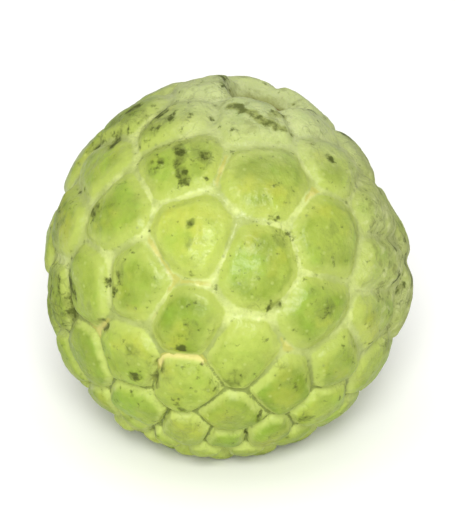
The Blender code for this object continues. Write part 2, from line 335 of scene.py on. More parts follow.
# %% Inputs of the tree
tree = bpy.data.node_groups.new("segmented_skin", "GeometryNodeTree")
tree.is_modifier = True
tree.interface.new_socket("Skin", in_out="OUTPUT", socket_type="NodeSocketGeometry")
tree.interface.new_socket("Middles", in_out="INPUT", socket_type="NodeSocketGeometry")
SKIN_INPUTS = {
    "Mark Places": ("NodeSocketObject", mark_places),
    "Points Per Side": ("NodeSocketInt", 129),
    "Waist Radius": ("NodeSocketFloat", waist_radius),
    "Axis Radius": ("NodeSocketFloat", axis_radius),
    "Centre Height": ("NodeSocketFloat", centre_height),
    "Lean": ("NodeSocketFloat", lean),
    "Tipping Axis": ("NodeSocketVector", tuple(tipping_axis)),
    "Corner Roundness": ("NodeSocketFloat", CORNER_ROUNDNESS),
    "Seam Wander": ("NodeSocketFloat", 0.022),  # as a share of the radius
    "Seam Half Width": ("NodeSocketFloat", 0.4 * MM),
    "Shoulder Width": ("NodeSocketFloat", 1.9 * MM),
    "Shoulder Height": ("NodeSocketFloat", 0.75 * MM),
    "Crown Height": ("NodeSocketFloat", 1.1 * MM),
    "Tip Seam Half Width": ("NodeSocketFloat", 0.1 * MM),
    "Tip Shoulder Width": ("NodeSocketFloat", 1.15 * MM),
    "Tip Shoulder Height": ("NodeSocketFloat", 1.25 * MM),
    "Tip Crown Height": ("NodeSocketFloat", 1.5 * MM),
    "Lump Height": ("NodeSocketFloat", 1.7 * MM),
    "Weathered Side": ("NodeSocketVector", direction(86, 26)),
    "Pit Depth": ("NodeSocketFloat", pit_depth),
    "Pit Floor Radius": ("NodeSocketFloat", 4.3 * MM),
    "Pit Rim Radius": ("NodeSocketFloat", PIT_RIM_RADIUS),
    "Pressed Radius": ("NodeSocketFloat", 15 * MM),
    "Skin Material": ("NodeSocketMaterial", None),
}
for label, (kind, _) in SKIN_INPUTS.items():
    tree.interface.new_socket(label, in_out="INPUT", socket_type=kind)
given = add(tree, "NodeGroupInput").outputs
print(len(SKIN_INPUTS), "inputs")

# %% The ball
cube = add(tree, "GeometryNodeMeshCube", inputs={
    "Size": (2, 2, 2),
    "Vertices X": given["Points Per Side"],
    "Vertices Y": given["Points Per Side"],
    "Vertices Z": given["Points Per Side"],
})
position = add(tree, "GeometryNodeInputPosition")
eighth_turn = add(tree, "ShaderNodeVectorMath", "SCALE",
                  {"Vector": position, "Scale": math.pi / 4})
evened = add(tree, "ShaderNodeVectorMath", "TANGENT", {0: eighth_turn})
on_ball = add(tree, "ShaderNodeVectorMath", "NORMALIZE", {0: evened})
ball = add(tree, "GeometryNodeSetPosition",
           inputs={"Geometry": live(cube.outputs, "Mesh"), "Position": on_ball})
squares_per_side = SKIN_INPUTS["Points Per Side"][1] - 1
print("a ball of", 6 * squares_per_side ** 2, "squares")

# %% [markdown]
# ## Step 2: the seams
#
# For a point of the ball, the seam with a neighbour is the plane midway between the two
# middles. Its distance is the point's direction times the unit vector from the neighbour's
# middle to its own. A Repeat zone goes through all middles once and keeps two things: the
# nearest seam, and a blend of all of them, a soft minimum, which rounds the corners. The
# Voronoi texture has a distance to the edge too, but nobody can say where its cells are.
# Before that, the points look up their place through a soft noise, so the seams wander a
# little, as grown ones do. What is worked out once is stored on the points by name, and a
# node for each name reads it back.

# %% Names of what the points keep
stored = {}
for label in ("half_width", "tone", "proud", "gap", "crowd", "seam", "stray", "radius"):
    stored[label] = add(tree, "GeometryNodeInputNamedAttribute", {"data_type": "FLOAT"},
                        {"Name": label})
for label in ("place", "looked_up", "own_middle", "border", "marks", "kind"):
    stored[label] = add(tree, "GeometryNodeInputNamedAttribute", {"data_type": "FLOAT_VECTOR"},
                        {"Name": label})
print("kept on the points:", sorted(stored))

# %% Whose segment a point is in
FAR_AWAY = 1.0  # metres: any real seam is nearer
wander_noise = add(tree, "ShaderNodeTexNoise", inputs={
    "Vector": position, "Scale": 5.0, "Detail": 2.0})
wander_centred = add(tree, "ShaderNodeVectorMath", "SUBTRACT",
                     {0: live(wander_noise.outputs, "Color"), 1: (0.5, 0.5, 0.5)})
wander = add(tree, "ShaderNodeVectorMath", "SCALE",
             {"Vector": wander_centred, "Scale": given["Seam Wander"]})
strayed = add(tree, "ShaderNodeVectorMath", "ADD", {0: position, 1: wander})
looked_up = add(tree, "ShaderNodeVectorMath", "NORMALIZE", {0: strayed})
nearest = add(tree, "GeometryNodeSampleNearest",
              inputs={"Geometry": given["Middles"], "Sample Position": looked_up})
own_middle = add(tree, "GeometryNodeSampleIndex", {"data_type": "FLOAT_VECTOR"},
                 {"Geometry": given["Middles"], "Value": position, "Index": nearest})
facing_weather = add(tree, "ShaderNodeVectorMath", "DOT_PRODUCT",
                     {0: position, 1: given["Weathered Side"]})
side_weathered = add(tree, "ShaderNodeMapRange", SMOOTH,
                     {"Value": facing_weather, "From Min": 0.66, "From Max": 0.94})
up = add(tree, "ShaderNodeSeparateXYZ", inputs={0: position}).outputs["Z"]
top_weathered = add(tree, "ShaderNodeMapRange", SMOOTH,
                    {"Value": up, "From Min": 0.62, "From Max": 0.95, "To Max": 0.6})
weathered = add(tree, "ShaderNodeMath", "MAXIMUM", {0: side_weathered, 1: top_weathered})
facts = [("place", "FLOAT_VECTOR", position), ("looked_up", "FLOAT_VECTOR", looked_up),
         ("own_middle", "FLOAT_VECTOR", own_middle), ("weathered", "FLOAT", weathered)]
for label in ("half_width", "tone", "proud"):
    fact = add(tree, "GeometryNodeSampleIndex", {"data_type": "FLOAT"},
               {"Geometry": given["Middles"], "Value": stored[label], "Index": nearest})
    facts.append((label, "FLOAT", fact))
facts.append(("gap", "FLOAT", FAR_AWAY))
skin = ball
for label, kind, value in facts:
    skin = add(tree, "GeometryNodeStoreNamedAttribute", {"data_type": kind},
               {"Geometry": skin, "Name": label, "Value": value})
print(len(facts), "facts on each point before the rounds")

# %% A round for each middle


def start_rounds(points, geometry):
    """A Repeat zone with a round for each of the points: its first node and its last."""
    rounds = add(tree, "GeometryNodeAttributeDomainSize", {"component": "MESH"},
                 {"Geometry": points})
    first = add(tree, "GeometryNodeRepeatInput")
    last = add(tree, "GeometryNodeRepeatOutput")
    first.pair_with_output(last)
    tree.links.new(live(rounds.outputs, "Point Count"), first.inputs["Iterations"])
    tree.links.new(live(geometry.outputs, 0), first.inputs["Geometry"])
    return first, last


first, last = start_rounds(given["Middles"], skin)
turn = first.outputs["Iteration"]
other_middle = add(tree, "GeometryNodeSampleIndex", {"data_type": "FLOAT_VECTOR"},
                   {"Geometry": given["Middles"], "Value": position, "Index": turn})
away = add(tree, "ShaderNodeVectorMath", "SUBTRACT", {0: stored["own_middle"], 1: other_middle})
facing = add(tree, "ShaderNodeVectorMath", "NORMALIZE", {0: away})
is_other = add(tree, "ShaderNodeVectorMath", "LENGTH", {0: facing})
share = add(tree, "ShaderNodeVectorMath", "DOT_PRODUCT", {0: stored["looked_up"], 1: facing})
distance = add(tree, "ShaderNodeMath", "MULTIPLY", {0: share, 1: given["Waist Radius"]})
# A segment has no seam with itself: there is_other is 0, and the distance is set far away.
not_own = add(tree, "ShaderNodeMath", "SUBTRACT", {0: FAR_AWAY, 1: is_other})
distance = add(tree, "ShaderNodeMath", "ADD", {0: distance, 1: not_own})
in_roundings = add(tree, "ShaderNodeMath", "DIVIDE", {0: distance, 1: given["Corner Roundness"]})
fading = add(tree, "ShaderNodeMath", "MULTIPLY", {0: in_roundings, 1: -1.0})
weight = add(tree, "ShaderNodeMath", "EXPONENT", {0: fading})
crowd = add(tree, "ShaderNodeMath", "ADD", {0: stored["crowd"], 1: weight})
closer = add(tree, "ShaderNodeMath", "LESS_THAN", {0: distance, 1: stored["gap"]})
skin = first.outputs["Geometry"]
for label, kind, value, where in (("crowd", "FLOAT", crowd, True),
                                  ("border", "FLOAT_VECTOR", facing, closer),
                                  ("gap", "FLOAT", distance, closer)):
    skin = add(tree, "GeometryNodeStoreNamedAttribute", {"data_type": kind},
               {"Geometry": skin, "Selection": where, "Name": label, "Value": value})
tree.links.new(live(skin.outputs, 0), last.inputs["Geometry"])
print(len(middles), "rounds, one for each middle")

# %% [markdown]
# A ball of squares can't follow a seam that runs askew, and a crease between its points looks
# like a saw. So points that are within half a square of a seam move onto it. Their distance is
# then nothing at all. Towards the tip the segments are packed tighter and their corners are
# sharper. A share called tipness goes from 0 above to 1 there, and mixes the plain distance in.

# %% Points move onto the seams
SNAP = 0.24 * MM  # about half a square
TIP_SHARPNESS = 0.5  # share of the plain distance at the tip
on_seam = add(tree, "ShaderNodeMath", "LESS_THAN", {0: stored["gap"], 1: SNAP})
gap_share = add(tree, "ShaderNodeMath", "DIVIDE", {0: stored["gap"], 1: given["Waist Radius"]})
inwards = add(tree, "ShaderNodeMath", "MULTIPLY", {0: gap_share, 1: -1.0})
shift = add(tree, "ShaderNodeVectorMath", "SCALE", {"Vector": stored["border"], "Scale": inwards})
snapped = add(tree, "GeometryNodeSetPosition",
              inputs={"Geometry": last, "Selection": on_seam, "Offset": shift})
height_on_ball = add(tree, "ShaderNodeSeparateXYZ", inputs={0: stored["place"]})
tipness = add(tree, "ShaderNodeMapRange", SMOOTH,
              {"Value": live(height_on_ball.outputs, "Z"), "From Min": 0.05, "From Max": -0.55})
crowd_safe = add(tree, "ShaderNodeMath", "MAXIMUM", {0: stored["crowd"], 1: 1e-9})
crowd_log = add(tree, "ShaderNodeMath", "LOGARITHM", {0: crowd_safe, 1: math.e})
soft_gap = add(tree, "ShaderNodeMath", "MULTIPLY", {0: crowd_log, 1: given["Corner Roundness"]})
from_seam = add(tree, "ShaderNodeMath", "MULTIPLY", {0: soft_gap, 1: -1.0})
from_seam = add(tree, "ShaderNodeMath", "MAXIMUM", {0: from_seam, 1: 0.0})
sharp = add(tree, "ShaderNodeMath", "MULTIPLY", {0: tipness, 1: TIP_SHARPNESS})
from_seam = add(tree, "ShaderNodeMix",
                inputs={"Factor": sharp, "A": from_seam, "B": stored["gap"]})
skin = snapped
for value, where in ((from_seam, True), (0.0, on_seam)):
    skin = add(tree, "GeometryNodeStoreNamedAttribute", {"data_type": "FLOAT"},
               {"Geometry": skin, "Selection": where, "Name": "seam", "Value": value})
print(f"points within {SNAP / MM:.2f} mm of a seam move onto it")

# %% [markdown]
# ## Step 3: the relief of a segment
#
# Near the stem end the segments are low plateaus, and the seams between them are flat pale
# bands. Towards the tip the bands close to dark creases, and the segments bulge. So each height
# has two values, and tipness goes from the one to the other. A segment is the sum of a
# shoulder, which rises from the seam, and a crown, a low dome over its whole width. A noise
# makes the shoulder steep in one place and soft in another.

# %% Shoulder and crown
PROUD_RANGE = 0.8 * MM  # between the lowest and the highest segment
local = {}
for label in ("Seam Half Width", "Shoulder Width", "Shoulder Height", "Crown Height"):
    local[label] = add(tree, "ShaderNodeMix", inputs={
        "Factor": tipness, "A": given[label], "B": given["Tip " + label]})
softness = add(tree, "ShaderNodeTexNoise", inputs={
    "Vector": stored["place"], "Scale": 3.0, "Detail": 1.0})
softness = add(tree, "ShaderNodeMapRange", inputs={
    "Value": softness, "From Min": 0.35, "From Max": 0.65, "To Min": 0.75, "To Max": 1.7})
shoulder_end = add(tree, "ShaderNodeMath", "MULTIPLY_ADD",
                   {0: local["Shoulder Width"], 1: softness, 2: local["Seam Half Width"]})
shoulder = add(tree, "ShaderNodeMapRange", SMOOTH, {
    "Value": stored["seam"], "From Min": local["Seam Half Width"], "From Max": shoulder_end})
stands = add(tree, "ShaderNodeMath", "MULTIPLY_ADD",
             {0: stored["proud"], 1: PROUD_RANGE, 2: local["Shoulder Height"]})
shoulder_relief = add(tree, "ShaderNodeMath", "MULTIPLY", {0: shoulder, 1: stands})
inward = add(tree, "ShaderNodeMapRange", inputs={
    "Value": stored["seam"], "From Min": 0.0, "From Max": stored["half_width"],
    "To Min": 1.0, "To Max": 0.0})
inward_squared = add(tree, "ShaderNodeMath", "MULTIPLY", {0: inward, 1: inward})
dome = add(tree, "ShaderNodeMath", "SUBTRACT", {0: 1.0, 1: inward_squared})
relief = add(tree, "ShaderNodeMath", "MULTIPLY_ADD",
             {0: dome, 1: local["Crown Height"], 2: shoulder_relief})
print(len(local), "sizes change from the shoulders to the tip")

# %% [markdown]
# Over all of it lie soft lumps, from a centimetre down to a millimetre.

# %% Soft lumps over everything
MARK_STRAY = 7 * MM  # how far a whole step of the same noise pushes the edge of a mark
lumps = add(tree, "ShaderNodeTexNoise", inputs={
    "Vector": stored["place"], "Scale": 4.5, "Detail": 4.5, "Roughness": 0.62})
lumps = add(tree, "ShaderNodeMath", "SUBTRACT", {0: lumps, 1: 0.5})
relief = add(tree, "ShaderNodeMath", "MULTIPLY_ADD",
             {0: lumps, 1: given["Lump Height"], 2: relief})
stray = add(tree, "ShaderNodeMath", "MULTIPLY", {0: lumps, 1: MARK_STRAY})
skin = add(tree, "GeometryNodeStoreNamedAttribute", {"data_type": "FLOAT"},
           {"Geometry": skin, "Name": "stray", "Value": stray})
print(len(tree.nodes), "nodes so far")

# %% [markdown]
# ## Step 4: the pit, the flat spot and the lean
#
# The segments go down into the pit that the stalk grew from, and their relief runs out round
# the stalk. It is pressed in where the fruit rests. The body is a ball stretched a little along
# its axis, flatter on the side where a neighbour on the tree pressed it, and fuller beside that.
# It is turned to its lean and lifted to its height, and what would reach below the floor is
# pressed up to it.

# %% From the ball to the fruit's shape
UNEVEN_GROWTH = (  # longitude, latitude, degrees round it, and how far in the skin is there
    (104, 48, 40, 2.6 * MM),
    (88, 8, 24, -1.0 * MM),
)
lean_turn = add(tree, "FunctionNodeAxisAngleToRotation",
                inputs={"Axis": given["Tipping Axis"], "Angle": given["Lean"]})
radii = add(tree, "ShaderNodeCombineXYZ", inputs={
    "X": given["Waist Radius"], "Y": given["Waist Radius"], "Z": given["Axis Radius"]})
body = add(tree, "ShaderNodeVectorMath", "MULTIPLY", {0: position, 1: radii})
for longitude, latitude, reach, inwards in UNEVEN_GROWTH:
    facing = add(tree, "ShaderNodeVectorMath", "DOT_PRODUCT",
                 {0: position, 1: direction(longitude, latitude)})
    moved_in = add(tree, "ShaderNodeMapRange", SMOOTH,
                   {"Value": facing, "From Min": math.cos(math.radians(reach)), "To Max": inwards})
    hollow = add(tree, "ShaderNodeVectorMath", "SCALE", {"Vector": position, "Scale": moved_in})
    body = add(tree, "ShaderNodeVectorMath", "SUBTRACT", {0: body, 1: hollow})
across = add(tree, "ShaderNodeVectorMath", "MULTIPLY", {0: body, 1: (1, 1, 0)})
from_axis = add(tree, "ShaderNodeVectorMath", "LENGTH", {0: across})
pit_slope = add(tree, "ShaderNodeMapRange", SMOOTH,
                {"Value": from_axis, "From Min": given["Pit Floor Radius"],
                 "From Max": given["Pit Rim Radius"]})
below_waist = add(tree, "ShaderNodeMath", "LESS_THAN",
                  {0: live(height_on_ball.outputs, "Z"), 1: 0.0})
out_of_pit = add(tree, "ShaderNodeMath", "MAXIMUM", {0: pit_slope, 1: below_waist})
in_pit = add(tree, "ShaderNodeMath", "SUBTRACT", {0: 1.0, 1: out_of_pit})
pit_sink = add(tree, "ShaderNodeMath", "MULTIPLY", {0: in_pit, 1: given["Pit Depth"]})
sunk = add(tree, "ShaderNodeCombineXYZ", inputs={"Z": pit_sink})
body = add(tree, "ShaderNodeVectorMath", "SUBTRACT", {0: body, 1: sunk})
leaned_body = add(tree, "FunctionNodeRotateVector", inputs={"Vector": body, "Rotation": lean_turn})
outwards = add(tree, "FunctionNodeRotateVector",
               inputs={"Vector": position, "Rotation": lean_turn})
print(len(UNEVEN_GROWTH), "places of uneven growth")

# %% Pressed where it rests
PRESSED_RELIEF = 0.35  # share of the relief that is left in the middle of the resting spot
BARE_RADIUS = 2.8 * MM  # round the stalk, where no segment grows
level = add(tree, "ShaderNodeVectorMath", "MULTIPLY", {0: leaned_body, 1: (1, 1, 0)})
from_rest = add(tree, "ShaderNodeVectorMath", "LENGTH", {0: level})
leaned_height = add(tree, "ShaderNodeSeparateXYZ", inputs={0: leaned_body})
above_middle = add(tree, "ShaderNodeMath", "GREATER_THAN",
                   {0: live(leaned_height.outputs, "Z"), 1: 0.0})
unpressed = add(tree, "ShaderNodeMapRange", SMOOTH,
                {"Value": from_rest, "From Max": given["Pressed Radius"],
                 "To Min": PRESSED_RELIEF})
unpressed = add(tree, "ShaderNodeMath", "MAXIMUM", {0: unpressed, 1: above_middle})
relief = add(tree, "ShaderNodeMath", "MULTIPLY", {0: relief, 1: unpressed})
grown = add(tree, "ShaderNodeMapRange", SMOOTH,
            {"Value": from_axis, "From Min": BARE_RADIUS, "From Max": given["Pit Floor Radius"]})
grown = add(tree, "ShaderNodeMath", "MAXIMUM", {0: grown, 1: below_waist})
relief = add(tree, "ShaderNodeMath", "MULTIPLY", {0: relief, 1: grown})
raised = add(tree, "ShaderNodeVectorMath", "SCALE", {"Vector": outwards, "Scale": relief})
raised = add(tree, "ShaderNodeVectorMath", "ADD", {0: leaned_body, 1: raised})
lift = add(tree, "ShaderNodeCombineXYZ", inputs={"Z": given["Centre Height"]})
lifted = add(tree, "ShaderNodeVectorMath", "ADD", {0: raised, 1: lift})
above_floor = add(tree, "ShaderNodeVectorMath", "MAXIMUM", {0: lifted, 1: (-1, -1, 0)})
print(len(tree.nodes), "nodes so far")

# %% [markdown]
# ## Step 5: the marks, and the end of the tree
#
# A second Repeat zone goes through the marks. Each is full near its place and fades out to its
# radius, which the lumps push in and out, and where marks overlap the stronger one counts.
# The material also gets to know where the pit is.
# Then the points move to their final place, and the tree ends in Realize Instances and Set
# Material.

# %% Marks as an attribute
FULL_SHARE = 0.3  # share of a mark's radius inside which it is at full strength
mark_points = add(tree, "GeometryNodeObjectInfo", inputs={"Object": given["Mark Places"]})
mark_points = live(mark_points.outputs, "Geometry")
first, last = start_rounds(mark_points, skin)
turn = first.outputs["Iteration"]
mark = {}
for label, kind, value in (("place", "FLOAT_VECTOR", position),
                           ("radius", "FLOAT", stored["radius"]),
                           ("kind", "FLOAT_VECTOR", stored["kind"])):
    mark[label] = add(tree, "GeometryNodeSampleIndex", {"data_type": kind},
                      {"Geometry": mark_points, "Value": value, "Index": turn})
from_mark = add(tree, "ShaderNodeVectorMath", "DISTANCE", {0: stored["place"], 1: mark["place"]})
from_mark = add(tree, "ShaderNodeMath", "MULTIPLY_ADD",
                {0: from_mark, 1: given["Waist Radius"], 2: stored["stray"]})
full_radius = add(tree, "ShaderNodeMath", "MULTIPLY", {0: mark["radius"], 1: FULL_SHARE})
strength = add(tree, "ShaderNodeMapRange", inputs={
    "Value": from_mark, "From Min": full_radius, "From Max": mark["radius"],
    "To Min": 1.0, "To Max": 0.0})
this_mark = add(tree, "ShaderNodeVectorMath", "SCALE", {"Vector": mark["kind"], "Scale": strength})
stronger = add(tree, "ShaderNodeVectorMath", "MAXIMUM", {0: stored["marks"], 1: this_mark})
marked = add(tree, "GeometryNodeStoreNamedAttribute", {"data_type": "FLOAT_VECTOR"},
             {"Geometry": first.outputs["Geometry"], "Name": "marks", "Value": stronger})
tree.links.new(live(marked.outputs, 0), last.inputs["Geometry"])
with_pit = add(tree, "GeometryNodeStoreNamedAttribute", {"data_type": "FLOAT"},
               {"Geometry": last, "Name": "pit", "Value": in_pit})
print(len(marks), "rounds, one for each mark")

# %% The end of the tree
shaped = add(tree, "GeometryNodeSetPosition",
             inputs={"Geometry": with_pit, "Position": above_floor})
smooth = add(tree, "GeometryNodeSetShadeSmooth", inputs={"Geometry": shaped})
real = add(tree, "GeometryNodeRealizeInstances", inputs={"Geometry": smooth})
finished = add(tree, "GeometryNodeSetMaterial",
               inputs={"Geometry": real, "Material": given["Skin Material"]})
add(tree, "NodeGroupOutput", inputs={"Skin": finished})
print(len(tree.nodes), "nodes in the skin's tree")

# %% [markdown]
# ## The skin's material
#
# The skin of a custard apple is a thin living rind with a natural wax on it. The wax gives the
# eye small broken highlights, not a shine. Light goes a little way into the flesh below, so
# the shadows are soft and yellow. The green is not even: segments differ, each has paler rims,
# and the seams are cream-green bands above and olive creases near the tip. Part of this is
# painted light: the deeper green, the olive creases and the bright rims at the tip, the paler
# top, and the dark patches on the left and right edges stand in for shade, highlight and sheen.
# All colours are written as sRGB hex values, and one function turns them to linear light.

# %% Colours and the start of the skin's material
GLOW_SHARES = (0.8, 1.0, 0.3)  # how far red, green and blue light go in, as shares of the depth
GLOW_DEPTH = 2.0 * MM


def linear(hex_code):
    """An sRGB hex colour as the linear RGBA that shaders use."""
    channels = [int(hex_code[start:start + 2], 16) / 255 for start in (1, 3, 5)]
    return (*(c / 12.92 if c <= 0.04045 else ((c + 0.055) / 1.055) ** 2.4 for c in channels), 1)


def new_material(name, roughness, ior):
    """A material with its tree, its shader and a node that gives the object's own coordinates."""
    material = bpy.data.materials.new(name)
    material.use_nodes = True
    shader = material.node_tree.nodes["Principled BSDF"]
    shader.inputs["Roughness"].default_value = roughness
    shader.inputs["IOR"].default_value = ior
    coordinates = add(material.node_tree, "ShaderNodeTexCoord").outputs["Object"]
    return material, material.node_tree, shader, coordinates


skin_material, skin_tree, skin_shader, coordinates = new_material("waxy_green_rind", 0.46, 1.45)
for name, value in (("Subsurface Weight", 0.15), ("Subsurface Radius", GLOW_SHARES),
                    ("Subsurface Scale", GLOW_DEPTH), ("Specular IOR Level", 0.2),
                    ("Coat Roughness", 0.30)):
    skin_shader.inputs[name].default_value = value
print("material:", skin_material.name)

# %% What the mesh tells the material
told = {label: add(skin_tree, "ShaderNodeAttribute", {"attribute_name": label}).outputs["Fac"]
        for label in ("seam", "tone", "weathered", "pit")}
seam_mm = add(skin_tree, "ShaderNodeMath", "DIVIDE", {0: told["seam"], 1: MM})
kinds = add(skin_tree, "ShaderNodeAttribute", {"attribute_name": "marks"}).outputs["Vector"]
kinds = add(skin_tree, "ShaderNodeSeparateXYZ", inputs={0: kinds}).outputs
place = add(skin_tree, "ShaderNodeAttribute", {"attribute_name": "place"}).outputs["Vector"]
place_height = add(skin_tree, "ShaderNodeSeparateXYZ", inputs={0: place}).outputs["Z"]
tip_share = add(skin_tree, "ShaderNodeMapRange", SMOOTH,
                {"Value": place_height, "From Min": 0.05, "From Max": -0.5})
print("told by the mesh:", sorted(told))

# %% [markdown]
# A noise texture's scale is one over the size of its blotches, so each scale here is worked out
# from a size in millimetres. The same five noises serve every layer: patches, blotches of another
# hue, mottling, scabs and ragged edges. A noise's colour output holds three patterns that don't
# follow each other, so one noise gives three hues.

# %% Five noises
NOISES = (  # name, size of its blotches in millimetres, detail and roughness
    ("patches", 16, 1.0, 0.5), ("blotches", 11, 3.0, 0.6), ("mottle", 7, 5.0, 0.62),
    ("scabs", 2.6, 3.0, 0.6), ("ragged", 1.8, 3.0, 0.6),
)
RAGGEDNESS = 1.1  # millimetres that an edge wanders, for a whole step of the noise
noises = {}
for label, size_mm, detail, roughness in NOISES:
    noises[label] = add(skin_tree, "ShaderNodeTexNoise", inputs={
        "Vector": coordinates, "Scale": 1 / (size_mm * MM), "Detail": detail,
        "Roughness": roughness})
uneven = add(skin_tree, "ShaderNodeMath", "SUBTRACT", {0: noises["ragged"], 1: 0.5})
ragged_mm = add(skin_tree, "ShaderNodeMath", "MULTIPLY_ADD",
                {0: uneven, 1: RAGGEDNESS, 2: seam_mm})
print("noises:", ", ".join(noises))

# %% [markdown]
# ## Coats of colour
#
# Each segment has a green of its own, from its tone, and drifts towards three other hues in
# blotches. The colour is built as a painter works, coat over coat: every coat is a factor that
# says where, and a colour. A list keeps the coats from the lowest to the topmost, and one loop
# at the end lays them on.

# %% Greens of the segments
TONE_WEIGHT = 0.38  # how much a segment's own tone counts against the mottling
HUES = (("X", "#778434", 0.5), ("Y", "#A5A83C", 0.5), ("Z", "#7FA030", 0.45))
# painted shade: the green of the segments gets deeper towards the tip, on the fruit's lower side
TIP_SHADE_DEPTH = 0.12  # how much deeper the green is at the tip
MOTTLE_IN_FILM_AND_SHADE = 3.0
coats = []
paler = add(skin_tree, "ShaderNodeMath", "MULTIPLY_ADD",
            {0: told["tone"], 1: TONE_WEIGHT, 2: noises["mottle"]})
paler = add(skin_tree, "ShaderNodeMapRange",
            inputs={"Value": paler, "From Min": 0.42, "From Max": 0.93})
green = add(skin_tree, "ShaderNodeMix", COLOURS,
            {"Factor": paler, "A": linear("#6E8222"), "B": linear("#A4B24E")})
hues = add(skin_tree, "ShaderNodeSeparateXYZ",
           inputs={0: live(noises["blotches"].outputs, "Color")})
for axis, code, most in HUES:
    amount = add(skin_tree, "ShaderNodeMapRange", SMOOTH,
                 {"Value": hues.outputs[axis], "From Min": 0.48, "From Max": 0.68, "To Max": most})
    coats.append((amount, linear(code)))
deeper_tip_shade = add(skin_tree, "ShaderNodeMath", "MULTIPLY", {0: tip_share, 1: TIP_SHADE_DEPTH})
# olive mould film, and on the big marks along the left and right edges painted shade
film_and_shade = add(skin_tree, "ShaderNodeMath", "MULTIPLY_ADD",
           {0: noises["mottle"], 1: MOTTLE_IN_FILM_AND_SHADE, 2: kinds["X"]})
film_and_shade = add(skin_tree, "ShaderNodeMapRange", SMOOTH,
           {"Value": film_and_shade, "From Min": 1.55, "From Max": 2.20, "To Max": 0.7})
coats += [(deeper_tip_shade, linear("#6C8410")), (film_and_shade, linear("#66752A"))]
print(len(coats), "coats so far")

# %% [markdown]
# The skin that grew last is palest: a rim round each segment, and the band in the seam. The
# distance from the seam, made ragged by a noise, says where both are. On the shoulders the bands
# are wide and cream-green, darker where they are moist. Near the tip they close to olive lines,
# whose dark olive is painted shade in the narrow creases, and each tip segment has a brighter
# rim, which is partly its own pale skin and partly a painted highlight on its raised edge.

# %% Pale rims and seams
RIM_MM = (2.2, 5.5)  # the narrowest and the widest rim, which change from patch to patch
TIP_RIM_SHARE = 0.35  # the rims are that much narrower at the tip
BAND_MM = (0.6, 1.4)
TIP_BAND_MM = 0.4
CORE_SHARE = 0.35  # share of a rim or a band where it is at its palest
rim_end = add(skin_tree, "ShaderNodeMapRange", inputs={
    "Value": noises["patches"], "From Min": 0.3, "From Max": 0.7,
    "To Min": RIM_MM[0], "To Max": RIM_MM[1]})
tip_rim_end = add(skin_tree, "ShaderNodeMath", "MULTIPLY", {0: rim_end, 1: TIP_RIM_SHARE})
rim_end = add(skin_tree, "ShaderNodeMix",
              inputs={"Factor": tip_share, "A": rim_end, "B": tip_rim_end})
band_end = add(skin_tree, "ShaderNodeMapRange", inputs={
    "Value": noises["patches"], "From Min": 0.35, "From Max": 0.65,
    "To Min": BAND_MM[0], "To Max": BAND_MM[1]})
band_end = add(skin_tree, "ShaderNodeMix",
               inputs={"Factor": tip_share, "A": band_end, "B": TIP_BAND_MM})
pale = {}
for label, end, most in (("rim", rim_end, 0.7), ("band", band_end, 1.0)):
    core = add(skin_tree, "ShaderNodeMath", "MULTIPLY", {0: end, 1: CORE_SHARE})
    pale[label] = add(skin_tree, "ShaderNodeMapRange", SMOOTH,
                      {"Value": ragged_mm, "From Min": end, "From Max": core, "To Max": most})
# partly painted highlight: the brighter rim round each tip segment
tip_rim_and_highlight = add(skin_tree, "ShaderNodeMapRange", SMOOTH,
              {"Value": ragged_mm, "From Min": 1.9, "From Max": 0.6, "To Max": 0.55})
tip_rim_and_highlight = add(skin_tree, "ShaderNodeMath", "MULTIPLY", {0: tip_rim_and_highlight, 1: tip_share})
drier = add(skin_tree, "ShaderNodeMapRange", SMOOTH,
            {"Value": noises["mottle"], "From Min": 0.40, "From Max": 0.62})
band_colour_and_crease_shade = add(skin_tree, "ShaderNodeMix", COLOURS,
                  {"Factor": drier, "A": linear("#949F55"), "B": linear("#B2BC70")})
# painted shade: near the tip the band turns dark olive, for the shade in the narrow creases
band_colour_and_crease_shade = add(skin_tree, "ShaderNodeMix", COLOURS,
                  {"Factor": tip_share, "A": band_colour_and_crease_shade, "B": linear("#76823A")})
coats += [(pale["rim"], linear("#A0AC52")), (tip_rim_and_highlight, linear("#B2BF68")),
          (pale["band"], band_colour_and_crease_shade)]
print(len(coats), "coats so far")

# %% [markdown]
# Lenticels are the skin's breathing pores: pale specks, and here and there a dark one where dirt
# got in. They are scattered singly, so a Voronoi texture makes them: a dot in the middle of some
# of its cells, chosen by the colour that each cell has.

# %% Lenticels
LENTICEL_CELL = 1.9 * MM
cells = add(skin_tree, "ShaderNodeTexVoronoi",
            inputs={"Vector": coordinates, "Scale": 1 / LENTICEL_CELL})
dot = add(skin_tree, "ShaderNodeMapRange", SMOOTH,
          {"Value": cells.outputs["Distance"], "From Min": 0.30, "From Max": 0.08})
cell_pick = add(skin_tree, "ShaderNodeSeparateXYZ", inputs={0: cells.outputs["Color"]})
for axis, least, code, most in (("X", 0.60, "#B1BB73", 0.28), ("Y", 0.93, "#525E1E", 0.45)):
    chosen = add(skin_tree, "ShaderNodeMath", "GREATER_THAN",
                 {0: cell_pick.outputs[axis], 1: least})
    for share in (dot, most):
        chosen = add(skin_tree, "ShaderNodeMath", "MULTIPLY", {0: chosen, 1: share})
    coats.append((chosen, linear(code)))
print(len(coats), "coats so far")

# %% [markdown]
# Skin that dries out shrinks into a network of creases: on the weathered side, near the tip and
# under mould, and the marks of painted shade get them as mould does. Drawing them one by one
# would take long. The edges of a Voronoi texture are such a network, once a noise has bent them,
# and they fade out where the mottling is low.

